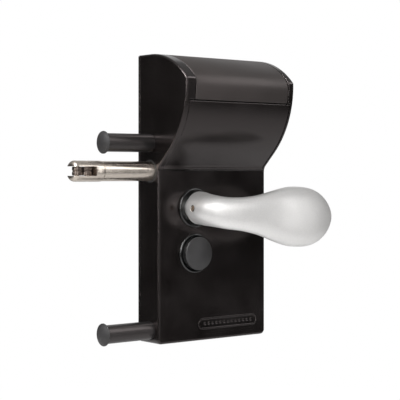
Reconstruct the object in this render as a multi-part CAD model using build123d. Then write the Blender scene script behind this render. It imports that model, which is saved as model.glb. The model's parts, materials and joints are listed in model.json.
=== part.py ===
from build123d import *
from math import acos, atan2, cos, degrees, hypot, radians, sin, sqrt, tan
import os

# A surface-mounted mechanical code lock for a gate. All sizes are in millimetres.
# +X points away from the gate upright, +Y towards the inside of the gate, +Z up.
# The origin is where the latch axis crosses the mounting face, which is the plane x = 0.

# ---------------------------------------------------------------- driving dimensions
CASE_WIDTH = 126.7
CASE_FRONT = -12.5
CASE_BACK = 18.5
CASE_BOTTOM = -155.0
CASE_TOP = 105.3
WALL = 3.2
MOUNT_WALL = 4.0
COVER_THICK = 3.2
GASKET_THICK = 0.8
CORNER_R = 4.5
EDGE_R = 2.0
SEAM_R = 0.6
ROOF_TOP = 96.6
ROOF_THICK = 3.6

# the hood's side outline: a roof arc and a belly arc, then a straight run back to the front wall
ROOF_ARC_R = 72.8
BELLY_ARC_Y = 32.3
BELLY_ARC_Z = 79.0
BELLY_ARC_R = 86.0
BELLY_SWEEP = 46.0
FOOT_R = 7.0
NOSE_R = 3.0
LIP_Z = 62.6
WEB_DEPTH = 6.6
LEFT_CHEEK_UPPER = 10.9
RIGHT_CHEEK_UPPER = 6.6
LEFT_CHEEK_LOWER = 5.4
RIGHT_CHEEK_LOWER = 2.8

# the gate upright that the lock is fastened to, which is not part of the lock
UPRIGHT_DEPTH = 50.0

HANDLE_X = 41.4
HANDLE_Z = -33.4
BUTTON_Z = -74.8
BUTTON_STEM_R = 5.0
BADGE_X = (45.4, 116.3)
BADGE_Z = -139.8
BADGE_HEIGHT = 10.8
BADGE_RIM = 1.2
COLLAR_R = 17.8
COLLAR_SEAT_R = 16.0
HUB_R = 15.0
SHANK_R = 10.0
SPINDLE_SIDE = 8.0
SET_SCREW_R = 3.0
SET_SCREW_OUT = 15.1
HANDLE_RANGE = 43.5

LATCH_TIP = -84.2
LATCH_HEAD_END = -53.8
LATCH_HEAD_R = 9.15
LATCH_SHANK_R = 8.8
LATCH_ROD_R = 3.95
LATCH_SLOT = 8.2
ROLLER_PIN_R = 1.6
LATCH_SLOT_DEPTH = 21.6
LATCH_NOSE_R = 4.2
ROLLER_R = 4.5
ROLLERS_IN = (6.9, 16.4)
FOLLOWER_ARM = 27.0
FOLLOWER_TIP_R = 4.0
JOURNAL_R = 8.0
CHASSIS_Y = (9.4, 11.4)
CHASSIS_HOLE_R = 16.6

BOLT_Z = (25.2, -143.1)
BOLT_R = 4.0
SLEEVE_R = 8.2
SLEEVE_SEAT = 2.0
CAP_R = 10.0

HINGE_Y = 0.0
HINGE_Z = CASE_TOP - 4.0
HINGE_BARREL_R = 4.0
HINGE_PIN_R = 2.0

# the key field lies on a plane this far from the roof arc's centre, tilted up and forward
KEY_PLANE = 59.0
KEY_TILT = 39.4
KEY_R = 5.4
KEY_RISE = 3.4
KEY_COLUMNS = 7
KEY_PITCH_X = 13.8
KEY_PITCH_T = 15.5
KEY_FIRST_T = -3.5
PLATE_THICK = 2.4
PLATE_T = (-14.0, 26.0)

RELEASE_X = (62.0, 70.0)
RELEASE_Y = (-9.0, -6.6)

PART_GAP = 0.4
RUN = 0.05

os.makedirs("parts", exist_ok=True)


# ---------------------------------------------------------------- helpers
def save(name, shape):
    """Write one node's solids to its STEP file."""
    solids = shape.solids()
    export_step(Compound(children=list(solids)) if len(solids) > 1 else solids[0], f"parts/{name}.step")


def block(x, y, z):
    """A box between the given low and high values on each axis."""
    size = [high - low for low, high in (x, y, z)]
    middle = [(high + low) / 2 for low, high in (x, y, z)]
    return Pos(*middle) * Box(*size)


def rod(axis, radius, start, end, a=0.0, b=0.0):
    """A cylinder along X, Y or Z from start to end; a and b are its other two coordinates in order."""
    length = end - start
    middle = (start + end) / 2
    if axis == "X":
        return Pos(middle, a, b) * Rot(0, 90, 0) * Cylinder(radius, length)
    if axis == "Y":
        return Pos(a, middle, b) * Rot(90, 0, 0) * Cylinder(radius, length)
    return Pos(a, b, middle) * Cylinder(radius, length)


def across(face_wire, x_low, x_high):
    """Extrude a closed outline drawn in (y, z) across the lock from x_low to x_high."""
    face = make_face(face_wire)
    return Pos(x_low, 0, 0) * extrude(Plane.YZ * face, amount=x_high - x_low)


def spring(radius, wire, length, turns):
    """A helical spring along +Z from the origin."""
    path = Helix(pitch=length / turns, height=length, radius=radius)
    section = Plane(path @ 0, z_dir=path % 0) * Circle(wire / 2)
    return sweep(section, path=path, is_frenet=True)


def hex_socket(depth, across_flats):
    """A hexagonal recess whose mouth is at z = 0, going down."""
    hexagon = RegularPolygon(across_flats / 2, 6, major_radius=False)
    return Pos(0, 0, -depth) * extrude(hexagon, amount=depth)


def hood_corner(inset):
    """Where the inset roof arc meets the inset belly arc, above the nose."""
    r1 = ROOF_ARC_R - inset
    r2 = BELLY_ARC_R - inset
    cy, cz = BELLY_ARC_Y - HINGE_Y, BELLY_ARC_Z - (CASE_TOP - ROOF_ARC_R)
    d = hypot(cy, cz)
    along = (r1 * r1 - r2 * r2 + d * d) / (2 * d)
    off = sqrt(r1 * r1 - along * along)
    return (along * cy / d - off * cz / d, CASE_TOP - ROOF_ARC_R + along * cz / d + off * cy / d)


def roof_point(inset, angle):
    """A point on the roof arc, angle degrees forward of its top."""
    r = ROOF_ARC_R - inset
    return (-r * sin(radians(angle)), CASE_TOP - ROOF_ARC_R + r * cos(radians(angle)))


def belly_point(inset, angle):
    """A point on the belly arc, angle degrees below its foremost point."""
    r = BELLY_ARC_R - inset
    return (BELLY_ARC_Y - r * cos(radians(angle)), BELLY_ARC_Z - r * sin(radians(angle)))


def roof_angle(point):
    return degrees(atan2(-point[0], point[1] - (CASE_TOP - ROOF_ARC_R)))


def belly_angle(point):
    return degrees(atan2(BELLY_ARC_Z - point[1], BELLY_ARC_Y - point[0]))


def belly_angle_at(inset, z):
    return degrees(acos(sqrt(1 - ((BELLY_ARC_Z - z) / (BELLY_ARC_R - inset)) ** 2)))


def roof_arc(inset, start, end):
    middle = (start + end) / 2
    return ThreePointArc(*(roof_point(inset, a) for a in (start, middle, end)))


def belly_arc(inset, start, end):
    middle = (start + end) / 2
    return ThreePointArc(*(belly_point(inset, a) for a in (start, middle, end)))


def foot_point(inset, y):
    """Where the straight run below the belly arc reaches the plane y."""
    start = belly_point(inset, BELLY_SWEEP)
    run = (y - start[0]) / sin(radians(BELLY_SWEEP))
    return (y, start[1] - run * cos(radians(BELLY_SWEEP)))


def foot_run(inset, y):
    """The straight run below the belly arc and the hollow arc that brings it onto the plane y."""
    foot = foot_point(inset, y)
    half = radians(BELLY_SWEEP) / 2
    reach = FOOT_R * tan(half)
    arc_start = (foot[0] - reach * sin(2 * half), foot[1] + reach * cos(2 * half))
    arc_end = (y, foot[1] - reach)
    centre = (y - FOOT_R, arc_end[1])
    arc_middle = (centre[0] + FOOT_R * cos(half), centre[1] + FOOT_R * sin(half))
    return Line(belly_point(inset, BELLY_SWEEP), arc_start), ThreePointArc(arc_start, arc_middle, arc_end)


def key_frame(t, d, x=0.0):
    """The place at t up the key field and d out from the roof arc's centre, facing out of the keys."""
    tilt = radians(KEY_TILT)
    y = -d * sin(tilt) + t * cos(tilt)
    z = CASE_TOP - ROOF_ARC_R + d * cos(tilt) + t * sin(tilt)
    return Plane(origin=(x, y, z), x_dir=(1, 0, 0), z_dir=(0, -sin(tilt), cos(tilt)))


def key_block(x, t, d):
    """A box aligned with the key field."""
    size = [high - low for low, high in (x, t, d)]
    middle = [(high + low) / 2 for low, high in (x, t, d)]
    return key_frame(middle[1], middle[2], middle[0]) * Box(*size)


def key_places():
    """The (x, t) centre of each key, upper row first, left to right."""
    left = (LEFT_CHEEK_UPPER + CASE_WIDTH - RIGHT_CHEEK_UPPER - (KEY_COLUMNS - 1) * KEY_PITCH_X) / 2
    return [
        (left + column * KEY_PITCH_X, KEY_FIRST_T + row * KEY_PITCH_T)
        for row in (1, 0)
        for column in range(KEY_COLUMNS)
    ]


# ---------------------------------------------------------------- casing, hood and covers
FLAP_X = (LEFT_CHEEK_UPPER + PART_GAP, CASE_WIDTH - RIGHT_CHEEK_UPPER - PART_GAP)
BELLY_X = (LEFT_CHEEK_LOWER + 0.3, CASE_WIDTH - RIGHT_CHEEK_LOWER - 0.3)
TRAY_X = (FLAP_X[0] + 3.0, FLAP_X[1] - 3.0)
SHELL_BACK = CASE_BACK - COVER_THICK - GASKET_THICK
COVER_SCREWS = [(x, z) for z in (88.0, -40.0, -122.0) for x in (10.0, CASE_WIDTH - 10.0)]
CAVITY_X = (MOUNT_WALL, CASE_WIDTH - WALL)
CAVITY_Z = (CASE_BOTTOM + WALL, ROOF_TOP - ROOF_THICK)
CAVITY_R = 2.5
CHAMBER_WAY_X = (17.6, 112.9)
CHAMBER_WAY_Z = (15.0, 91.0)
HINGE_PIN_X = (LEFT_CHEEK_UPPER - 5, CASE_WIDTH - RIGHT_CHEEK_UPPER + 3.5)
KEYPAD_SCREWS = [(x, z) for z in (56.0, 36.0) for x in (12.8, CASE_WIDTH - 9.5)]


def make_cheek(x_low, x_high, outer):
    """One side of the hood, rounded along its front and along its outer edge, which is at x = outer."""
    corner = hood_corner(0)
    run, flare = foot_run(0, CASE_FRONT)
    foot_z = (flare @ 1).Y
    outline = Wire(
        [
            Line((SHELL_BACK, CASE_TOP), (0, CASE_TOP)),
            roof_arc(0, 0, roof_angle(corner)),
            belly_arc(0, belly_angle(corner), BELLY_SWEEP),
            run,
            flare,
            Line((CASE_FRONT, foot_z), (SHELL_BACK, foot_z)),
            Line((SHELL_BACK, foot_z), (SHELL_BACK, CASE_TOP)),
        ]
    )
    cheek = across(outline, x_low, x_high)
    nose = cheek.edges().filter_by(GeomType.LINE).filter_by(Axis.X).sort_by(Axis.Y)[0]
    cheek = fillet(nose, NOSE_R)
    for x, radius in ((outer, EDGE_R - 0.2), (x_low + x_high - outer, SEAM_R)):
        side = cheek.faces().filter_by(GeomType.PLANE).filter_by_position(Axis.X, x, x)[0]
        rim = side.edges().filter_by(Axis.Z, reverse=True)
        rim = ShapeList(edge for edge in rim if edge.center().Z > foot_z + 0.1)
        cheek = fillet(rim, radius)
    return cheek


def make_casing():
    body = block((0, CASE_WIDTH), (CASE_FRONT, SHELL_BACK), (CASE_BOTTOM, ROOF_TOP))
    lower_corners = body.edges().filter_by(Axis.Y).sort_by(Axis.Z)[0:2]
    body = fillet(lower_corners, CORNER_R)
    front_edges = body.faces().sort_by(Axis.Y)[0].edges()
    body = fillet(front_edges.sort_by(Axis.Z)[0:5], EDGE_R)
    inner_left, inner_right = LEFT_CHEEK_UPPER, CASE_WIDTH - RIGHT_CHEEK_UPPER
    strip_x = (inner_left - 1, inner_right + 1)
    body += block(strip_x, (HINGE_BARREL_R + 0.5, SHELL_BACK), (ROOF_TOP - 2, CASE_TOP))
    body += make_cheek(0, inner_left, 0)
    body += make_cheek(inner_right, CASE_WIDTH, CASE_WIDTH)
    # below the flap the cheeks are thinner, to take the belly of the keypad housing
    lower_cut = block(
        (LEFT_CHEEK_LOWER, CASE_WIDTH - RIGHT_CHEEK_LOWER), (-80, CASE_FRONT), (-10, LIP_Z)
    )
    body -= lower_cut
    cavity = block(CAVITY_X, (CASE_FRONT + WALL, CASE_BACK), CAVITY_Z)
    body -= fillet(cavity.edges().filter_by(Axis.Y), CAVITY_R)
    # the way in for the code chamber behind the keypad housing
    body -= block(CHAMBER_WAY_X, (-20, CASE_FRONT + WALL + 1), CHAMBER_WAY_Z)
    # handle, button and latch openings
    for z in (HANDLE_Z, BUTTON_Z):
        body -= rod("Y", COLLAR_SEAT_R, CASE_FRONT - 1, CASE_FRONT + WALL + 1, HANDLE_X, z)
    body -= rod("X", LATCH_SHANK_R + 1.5, -1, MOUNT_WALL + 3.4)
    for z in BOLT_Z:
        body -= rod("X", BOLT_R + 0.4, -1, MOUNT_WALL + 1, 0, z)
        body -= rod("X", SLEEVE_R + 0.1, -1, SLEEVE_SEAT, 0, z)
    # hinge pin holes in the cheeks
    body -= rod("X", HINGE_PIN_R + 0.02, HINGE_PIN_X[0] - 1, HINGE_PIN_X[1] + 0.5, HINGE_Y, HINGE_Z)
    # bosses for the rear cover's screws and the keypad housing's screws
    for x, z in COVER_SCREWS:
        boss = block((x - 5.5, x + 5.5), (CASE_FRONT + WALL - 0.5, SHELL_BACK), (z - 5.0, z + 5.0))
        body += boss - rod("Y", 1.65, SHELL_BACK - 14, SHELL_BACK + 1, x, z)
    for x, z in KEYPAD_SCREWS:
        body -= rod("Y", 2.2, CASE_FRONT - 1, CASE_FRONT + WALL + 1, x, z)
    return body


def make_rear_cover():
    cover = block((0, CASE_WIDTH), (CASE_BACK - COVER_THICK, CASE_BACK), (CASE_BOTTOM, CASE_TOP))
    uprights = cover.edges().filter_by(Axis.Y).sort_by(Axis.Z)
    cover = fillet(uprights[0:2], CORNER_R)
    cover = fillet(cover.edges().filter_by(Axis.Y).sort_by(Axis.Z)[-2:], 1.6)
    cover = fillet(cover.faces().sort_by(Axis.Y)[-1].edges(), 1.4)
    cover -= rod("Y", COLLAR_SEAT_R, SHELL_BACK - 1, CASE_BACK + 1, HANDLE_X, HANDLE_Z)
    for x, z in COVER_SCREWS:
        cover -= rod("Y", 2.2, SHELL_BACK - 1, CASE_BACK + 1, x, z)
        cover -= Pos(x, CASE_BACK - 1.0, z) * Rot(-90, 0, 0) * Cone(2.2, 4.3, 2.1)
    return cover


def make_keypad_housing():
    """The belly below the flap, with the tilted tray that carries the keys above it."""
    top = LIP_Z - 0.9
    inset = 0.35
    back = CASE_FRONT - 0.05
    run, flare = foot_run(inset, back)
    start = belly_angle_at(inset, top)
    belly = across(
        Wire(
            [
                belly_arc(inset, start, BELLY_SWEEP),
                run,
                flare,
                Line(flare @ 1, (back, top)),
                Line((back, top), belly_point(inset, start)),
            ]
        ),
        *BELLY_X,
    )
    # the round along both sides of the belly and along its top edge, under the flap's lip
    seams = [edge for edge in belly.edges() if edge.geom_type == GeomType.CIRCLE and edge.radius > FOOT_R]
    top_edges = belly.edges().filter_by(Axis.X).filter_by_position(Axis.Z, top - 0.01, top + 0.01)
    seams += top_edges.sort_by(Axis.Y)[:1]
    belly = fillet(seams, SEAM_R)
    front, rear = (key_frame(t, KEY_PLANE - PLATE_THICK).origin for t in PLATE_T)
    tray_outline = Polyline(
        (front.Y, front.Z),
        (rear.Y, rear.Z),
        (back, rear.Z),
        (back, top - 2),
        (front.Y, top - 2),
        close=True,
    )
    housing = belly + across(tray_outline, *TRAY_X)
    # hollow it, leaving the walls
    hollow_foot = foot_point(inset + 3, CASE_FRONT + 1)
    hollow_start = belly_angle_at(inset + 3, top - 3)
    hollow = across(
        Wire(
            [
                belly_arc(inset + 3, hollow_start, BELLY_SWEEP),
                Line(belly_point(inset + 3, BELLY_SWEEP), hollow_foot),
                Line(hollow_foot, (hollow_foot[0], top - 3)),
                Line((hollow_foot[0], top - 3), belly_point(inset + 3, hollow_start)),
            ]
        ),
        BELLY_X[0] + 3,
        BELLY_X[1] - 3,
    )
    housing -= hollow
    for x, z in KEYPAD_SCREWS:
        housing += block((x - 4.2, x + 4.2), (CASE_FRONT - 11.0, back), (z - 4.2, z + 4.2))
    housing -= key_block((TRAY_X[0] + 3, TRAY_X[1] - 3), (-11.5, 23.5), (KEY_PLANE - 40, KEY_PLANE))
    for x, z in KEYPAD_SCREWS:
        housing -= rod("Y", 1.65, CASE_FRONT - 9, CASE_FRONT + 1, x, z)
    return housing


def make_keypad_plate():
    plate = key_block(TRAY_X, PLATE_T, (KEY_PLANE - PLATE_THICK, KEY_PLANE))
    for x, t in key_places():
        plate -= key_frame(t, KEY_PLANE, x) * Cylinder(KEY_R + 0.25, 10)
    return plate


def make_code_chamber():
    chamber = key_block((TRAY_X[0] + 4, TRAY_X[1] - 4), (-10.5, 22.5), (KEY_PLANE - 21, KEY_PLANE - 11))
    for x, t in key_places():
        chamber -= key_frame(t, KEY_PLANE - 11, x) * Cylinder(3.1, 16)
    return chamber


def make_key(x, t):
    """One key: a round head with a softened rim, a flange that keeps it in, and a stem."""
    place = key_frame(t, KEY_PLANE, x)
    head = Pos(0, 0, (KEY_RISE - PLATE_THICK - 0.6) / 2) * Cylinder(KEY_R, KEY_RISE + PLATE_THICK + 0.6)
    head = fillet(head.edges().sort_by(Axis.Z)[-1], 0.8)
    flange = Pos(0, 0, -PLATE_THICK - 1.0) * Cylinder(KEY_R + 1.0, 1.2)
    stem = Pos(0, 0, -PLATE_THICK - 6.0) * Cylinder(2.4, 10.0)
    return place * (head + flange + stem)


def make_key_springs():
    length = 6.1
    return [
        key_frame(t, KEY_PLANE - 10.6, x) * spring(3.6, 0.7, length, 3)
        for x, t in key_places()
    ]


def make_flap():
    corner = hood_corner(0)
    inner = hood_corner(3)
    lip_outer = belly_angle_at(0, LIP_Z)
    lip_inner = belly_angle_at(3, LIP_Z)
    skin = across(
        Wire(
            [
                roof_arc(0, 0, roof_angle(corner)),
                belly_arc(0, belly_angle(corner), lip_outer),
                Line(belly_point(0, lip_outer), belly_point(3, lip_inner)),
                belly_arc(3, lip_inner, belly_angle(inner)),
                roof_arc(3, roof_angle(inner), 0),
                Line(roof_point(3, 0), roof_point(0, 0)),
            ]
        ),
        *FLAP_X,
    )
    nose = skin.edges().filter_by(GeomType.LINE).filter_by(Axis.X).sort_by(Axis.Y)[0]
    skin = fillet(nose, NOSE_R)
    skin = fillet(skin.edges().filter_by(GeomType.CIRCLE).group_by(Axis.X)[0], 0.8)
    skin = fillet(skin.edges().filter_by(GeomType.CIRCLE).group_by(Axis.X)[-1], 0.8)
    deep = hood_corner(WEB_DEPTH)
    shallow = hood_corner(1)
    low_outer = belly_angle_at(1, LIP_Z + 1)
    low_inner = belly_angle_at(WEB_DEPTH, LIP_Z + 1)
    webs = [
        across(
            Wire(
                [
                    roof_arc(1, 9, roof_angle(shallow)),
                    belly_arc(1, belly_angle(shallow), low_outer),
                    Line(belly_point(1, low_outer), belly_point(WEB_DEPTH, low_inner)),
                    belly_arc(WEB_DEPTH, low_inner, belly_angle(deep)),
                    roof_arc(WEB_DEPTH, roof_angle(deep), 9),
                    Line(roof_point(WEB_DEPTH, 9), roof_point(1, 9)),
                ]
            ),
            x,
            x + 2.0,
        )
        for x in (FLAP_X[0], FLAP_X[1] - 2.0)
    ]
    barrel = rod("X", HINGE_BARREL_R, *FLAP_X, HINGE_Y, HINGE_Z)
    flap = skin + webs[0] + webs[1] + barrel
    flap -= rod("X", HINGE_PIN_R + RUN, 0, CASE_WIDTH, HINGE_Y, HINGE_Z)
    # a notch in the barrel for the torsion spring
    notch = block((59, 73), (-7, 7), (HINGE_Z - 7, HINGE_Z + 3.1))
    return flap - notch


def make_flap_spring():
    coil = Pos(60.2, HINGE_Y, HINGE_Z) * Rot(0, 90, 0) * spring(2.6, 0.7, 11.6, 11)
    return coil


# ---------------------------------------------------------------- handles and follower
def handle_sections(side):
    """The lever's centre line and its oval sections: (x, y, z, heading, half width, half height).

    side is -1 for the outer handle, which stands out towards -Y, and 1 for the inner one.
    """
    face = CASE_FRONT if side < 0 else CASE_BACK
    reach = [
        (0.0, 21.0, -1.2, 90, 14.4, 14.4),
        (2.0, 33.0, -3.4, 70, 13.6, 14.2),
        (14.0, 45.0, -5.0, 34, 13.2, 14.8),
        (33.0, 51.0, -6.0, 9, 13.6, 18.0),
        (53.0, 52.0, -7.4, 1, 14.6, 24.5),
        (71.0, 52.0, -8.1, 0, 15.6, 27.4),
        (87.0, 52.0, -8.6, 0, 15.2, 27.0),
        (100.0, 52.0, -8.8, 0, 13.2, 23.5),
        (111.0, 52.0, -9.0, 0, 9.4, 16.8),
        (117.6, 52.0, -9.0, 0, 5.0, 8.8),
        (119.6, 52.0, -9.0, 0, 2.0, 3.6),
    ]
    for dx, out, dz, heading, half_width, half_height in reach:
        angle = radians(heading)
        place = Plane(
            origin=(HANDLE_X + dx, face + side * out, HANDLE_Z + dz),
            x_dir=(-side * sin(angle), cos(angle), 0) if side > 0 else (sin(angle), cos(angle), 0),
            z_dir=(cos(angle), side * sin(angle), 0),
        )
        yield place * Ellipse(half_width, half_height)


def spindle_way(low, high):
    """The square hole that a spindle sits in."""
    half = SPINDLE_SIDE / 2 + 0.06
    return block((HANDLE_X - half, HANDLE_X + half), (low, high), (HANDLE_Z - half, HANDLE_Z + half))


def make_handle(side):
    face = CASE_FRONT if side < 0 else CASE_BACK
    sections = list(handle_sections(side))
    lever = loft(sections)
    start = face + side * 6.0
    end = face + side * 22.3
    low, high = sorted((start, end))
    hub = rod("Y", HUB_R, low, high, HANDLE_X, HANDLE_Z)
    base_edge = hub.edges().filter_by(GeomType.CIRCLE).sort_by(Axis.Y)[-1 if side < 0 else 0]
    hub = fillet(base_edge, 1.0)
    shank_low, shank_high = sorted((face - side * 6.6, start + side * 0.5))
    handle = lever + hub + rod("Y", SHANK_R, shank_low, shank_high, HANDLE_X, HANDLE_Z)
    handle -= spindle_way(*sorted((face - side * 8, face + side * 24)))
    screw_end = HANDLE_X - SPINDLE_SIDE / 2 + 1
    screw_y = face + side * SET_SCREW_OUT
    return handle - rod("X", SET_SCREW_R + RUN, HANDLE_X - 20, screw_end, screw_y, HANDLE_Z)


def make_set_screw(side):
    face = CASE_FRONT if side < 0 else CASE_BACK
    start = HANDLE_X - HUB_R + 0.9
    screw_y = face + side * SET_SCREW_OUT
    screw = rod("X", SET_SCREW_R, start, HANDLE_X - SPINDLE_SIDE / 2 - 0.1, screw_y, HANDLE_Z)
    socket = Pos(start, screw_y, HANDLE_Z) * Rot(0, -90, 0) * hex_socket(3.0, 3.0)
    return screw - socket


def make_spindle(side):
    half = SPINDLE_SIDE / 2
    face = CASE_FRONT if side < 0 else CASE_BACK
    low, high = sorted((side * 0.4, face + side * 20))
    return block((HANDLE_X - half, HANDLE_X + half), (low, high), (HANDLE_Z - half, HANDLE_Z + half))


def make_collar(side):
    """A flanged bush with a raised rim round a recess."""
    face = CASE_FRONT if side < 0 else CASE_BACK
    z = HANDLE_Z
    low, high = sorted((face, face + side * 2.0))
    rim = rod("Y", COLLAR_R, low, high, HANDLE_X, z)
    outer = rim.edges().filter_by(GeomType.CIRCLE).sort_by(Axis.Y)[0 if side < 0 else -1]
    rim = fillet(outer, 0.9)
    low, high = sorted((face - side * 6.0, face + side * 0.5))
    rim += rod("Y", COLLAR_R - 1.9, low, high, HANDLE_X, z)
    low, high = sorted((face - side * 1.6, face + side * 3.0))
    rim -= rod("Y", COLLAR_R - 2.0, low, high, HANDLE_X, z)
    low, high = sorted((face - side * 7.0, face + side * 3.0))
    return rim - rod("Y", SHANK_R + RUN, low, high, HANDLE_X, z)


def make_follower():
    rest = radians(HANDLE_RANGE / 2)
    hub = rod("Y", 12.0, -4.6, 5.4, HANDLE_X, HANDLE_Z)
    tip_x = HANDLE_X - FOLLOWER_ARM * sin(rest)
    tip_z = HANDLE_Z + FOLLOWER_ARM * cos(rest)
    arm = block((-2, 2), (-2.8, 2.8), (6, FOLLOWER_ARM))
    arm = Pos(HANDLE_X, 0, HANDLE_Z) * Rot(0, -HANDLE_RANGE / 2, 0) * arm
    tip = rod("Y", FOLLOWER_TIP_R, -2.8, 2.8, tip_x, tip_z)
    heel = block((HANDLE_X + 4, HANDLE_X + 19), (-2.8, 2.8), (HANDLE_Z - 4, HANDLE_Z + 2))
    journal = rod("Y", JOURNAL_R, 5.2, CHASSIS_Y[1], HANDLE_X, HANDLE_Z)
    follower = hub + arm + tip + heel + journal
    return follower - spindle_way(-20, 20)


def make_follower_bush():
    """The ring in the chassis plate that the follower's journal turns in."""
    bush = rod("Y", CHASSIS_HOLE_R - 0.05, *CHASSIS_Y, HANDLE_X, HANDLE_Z)
    bush += rod("Y", JOURNAL_R + 2.0, CHASSIS_Y[0] - 1.0, CHASSIS_Y[0] + 0.5, HANDLE_X, HANDLE_Z)
    return bush - rod("Y", JOURNAL_R + RUN, 5, 15, HANDLE_X, HANDLE_Z)


def make_return_spring():
    return Pos(HANDLE_X, 4.2, HANDLE_Z) * Rot(-90, 0, 0) * spring(13.6, 1.1, 3.6, 2.5)


# ---------------------------------------------------------------- latch
def make_latch_head():
    head = rod("X", LATCH_HEAD_R, LATCH_TIP, LATCH_HEAD_END)
    nose = head.edges().filter_by(GeomType.CIRCLE).sort_by(Axis.X)
    head = fillet(nose[0], LATCH_NOSE_R)
    head = chamfer(head.edges().filter_by(GeomType.CIRCLE).sort_by(Axis.X)[-1], 1.2)
    half = LATCH_SLOT / 2
    head -= block((LATCH_TIP - 1, LATCH_TIP + LATCH_SLOT_DEPTH), (-12, 12), (-half, half))
    for x in roller_places():
        head -= rod("Z", ROLLER_PIN_R, -12, 12, x, 0)
    head -= rod("X", 5.0, LATCH_HEAD_END - 5, LATCH_HEAD_END + 1)
    return head


def roller_places():
    return [LATCH_TIP + inward for inward in ROLLERS_IN]


def make_roller(x):
    half = LATCH_SLOT / 2 - 0.3
    roller = rod("Z", ROLLER_R, -half, half, x, 0)
    roller = chamfer(roller.edges().filter_by(GeomType.CIRCLE), 0.5)
    return roller - rod("Z", ROLLER_PIN_R + RUN, -9, 9, x, 0)


def make_roller_pins():
    pins = []
    for x in roller_places():
        reach = LATCH_HEAD_R - (1.4 if x < LATCH_TIP + 10 else 0.5)
        pins.append(rod("Z", ROLLER_PIN_R, -reach, reach, x, 0))
    return pins


def make_latch_shank():
    shank = rod("X", LATCH_SHANK_R, LATCH_HEAD_END, 14.0)
    shank += rod("X", 4.95, LATCH_HEAD_END - 4.8, LATCH_HEAD_END + 1)
    return shank - rod("X", 4.0, 4.0, 15.0)


def make_latch_tail():
    rest = radians(HANDLE_RANGE / 2)
    tip_x = HANDLE_X - FOLLOWER_ARM * sin(rest)
    tail = block((14.0, 52.0), (-3, 3), (-10.5, 8.5))
    tail = fillet(tail.edges().filter_by(Axis.Y), 1.5)
    half = FOLLOWER_TIP_R + 0.3
    tail -= block((tip_x - half, tip_x + half), (-4, 4), (-11, -1.6))
    tail += rod("X", LATCH_ROD_R, 4.4, 15.0)
    return tail + rod("X", LATCH_ROD_R, 51.0, 99.0)


def make_latch_guide():
    """The bush that the shank slides in, pressed into the mounting wall."""
    return rod("X", LATCH_SHANK_R + 1.45, 0.2, MOUNT_WALL + 2.8) - rod("X", LATCH_SHANK_R + RUN, -1, 9)


def make_rear_guide():
    """An angle bracket on the chassis plate that the tail's rod runs through."""
    bracket = block((92.0, 95.0), (-9.0, 9.4), (-11.0, 11.0))
    bracket += block((92.0, 108.0), (7.4, 9.4), (-11.0, 11.0))
    bracket = fillet(bracket.edges().filter_by(Axis.Z).sort_by(Axis.X)[0:1], 0.8)
    bracket -= rod("X", LATCH_ROD_R + RUN, 90, 97)
    return bracket - rod("Y", 1.65, 5, 12, 102.0, 0.0)


def make_latch_spring():
    return Pos(52.6, 0, 0) * Rot(0, 90, 0) * spring(5.4, 1.3, 38.6, 8)


# ---------------------------------------------------------------- chassis, button and fixings
CHASSIS_SCREWS = [(24.0, -100.0), (104.0, -100.0), (104.0, 40.0)]


def make_chassis_plate():
    plate = block((7.0, 121.0), CHASSIS_Y, (-112.0, 82.0))
    plate = fillet(plate.edges().filter_by(Axis.Y), 3.0)
    plate -= rod("Y", CHASSIS_HOLE_R, 5, 15, HANDLE_X, HANDLE_Z)
    for x, z in CHASSIS_SCREWS:
        plate -= rod("Y", 2.2, 5, 15, x, z)
    plate -= rod("Y", 1.65, 5, 15, 102.0, 0.0)
    for x, z in COVER_SCREWS:
        if abs(z) < 110:
            plate -= block((x - 6.0, x + 6.0), (5, 15), (z - 5.5, z + 5.5))
    return plate - rod("Y", 3.6, 5, 15, HANDLE_X, BUTTON_Z)


def make_chassis_posts():
    posts = []
    for x, z in CHASSIS_SCREWS:
        post = rod("Y", 4.5, CASE_FRONT + WALL, CHASSIS_Y[0], x, z)
        posts.append(post - rod("Y", 1.65, -6, 12, x, z))
    return posts


def pan_screw(radius, length, head_r, head_h, socket):
    """A round-head screw: shank up to z = 0, head above it."""
    head = Pos(0, 0, head_h / 2) * Cylinder(head_r, head_h)
    head = fillet(head.edges().sort_by(Axis.Z)[-1], head_h * 0.45)
    screw = head + Pos(0, 0, -length / 2) * Cylinder(radius, length)
    return screw - Pos(0, 0, head_h) * hex_socket(head_h * 0.6, socket)


def make_button():
    face = CASE_FRONT
    side = rod("Y", HUB_R, face - 7.0, face - 0.2, HANDLE_X, BUTTON_Z)
    sag = 3.0
    dome_r = (HUB_R**2 + sag**2) / (2 * sag)
    dome = Pos(HANDLE_X, face - 7.0 - sag + dome_r, BUTTON_Z) * Sphere(dome_r)
    dome &= rod("Y", HUB_R, face - 12.0, face - 6.5, HANDLE_X, BUTTON_Z)
    button = side + dome
    rim = button.edges().filter_by(GeomType.CIRCLE).sort_by(Axis.Y)[0]
    button = fillet(rim, 1.2)
    button += rod("Y", BUTTON_STEM_R, face - 1.0, 2.0, HANDLE_X, BUTTON_Z)
    return button + rod("Y", 3.2, 1.0, 10.6, HANDLE_X, BUTTON_Z)


def make_button_collar():
    face = CASE_FRONT
    rim = rod("Y", COLLAR_R, face - 2.0, face, HANDLE_X, BUTTON_Z)
    rim = fillet(rim.edges().filter_by(GeomType.CIRCLE).sort_by(Axis.Y)[0], 0.9)
    rim += rod("Y", COLLAR_R - 1.9, face - 0.5, face + 8.0, HANDLE_X, BUTTON_Z)
    rim -= rod("Y", HUB_R + 0.5, face - 3, face + 5.4, HANDLE_X, BUTTON_Z)
    return rim - rod("Y", BUTTON_STEM_R + RUN, face - 3, face + 9, HANDLE_X, BUTTON_Z)


def make_button_spring():
    return Pos(HANDLE_X, CASE_FRONT + 0.5, BUTTON_Z) * Rot(-90, 0, 0) * spring(7.4, 1.0, 4.1, 2.5)


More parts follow.
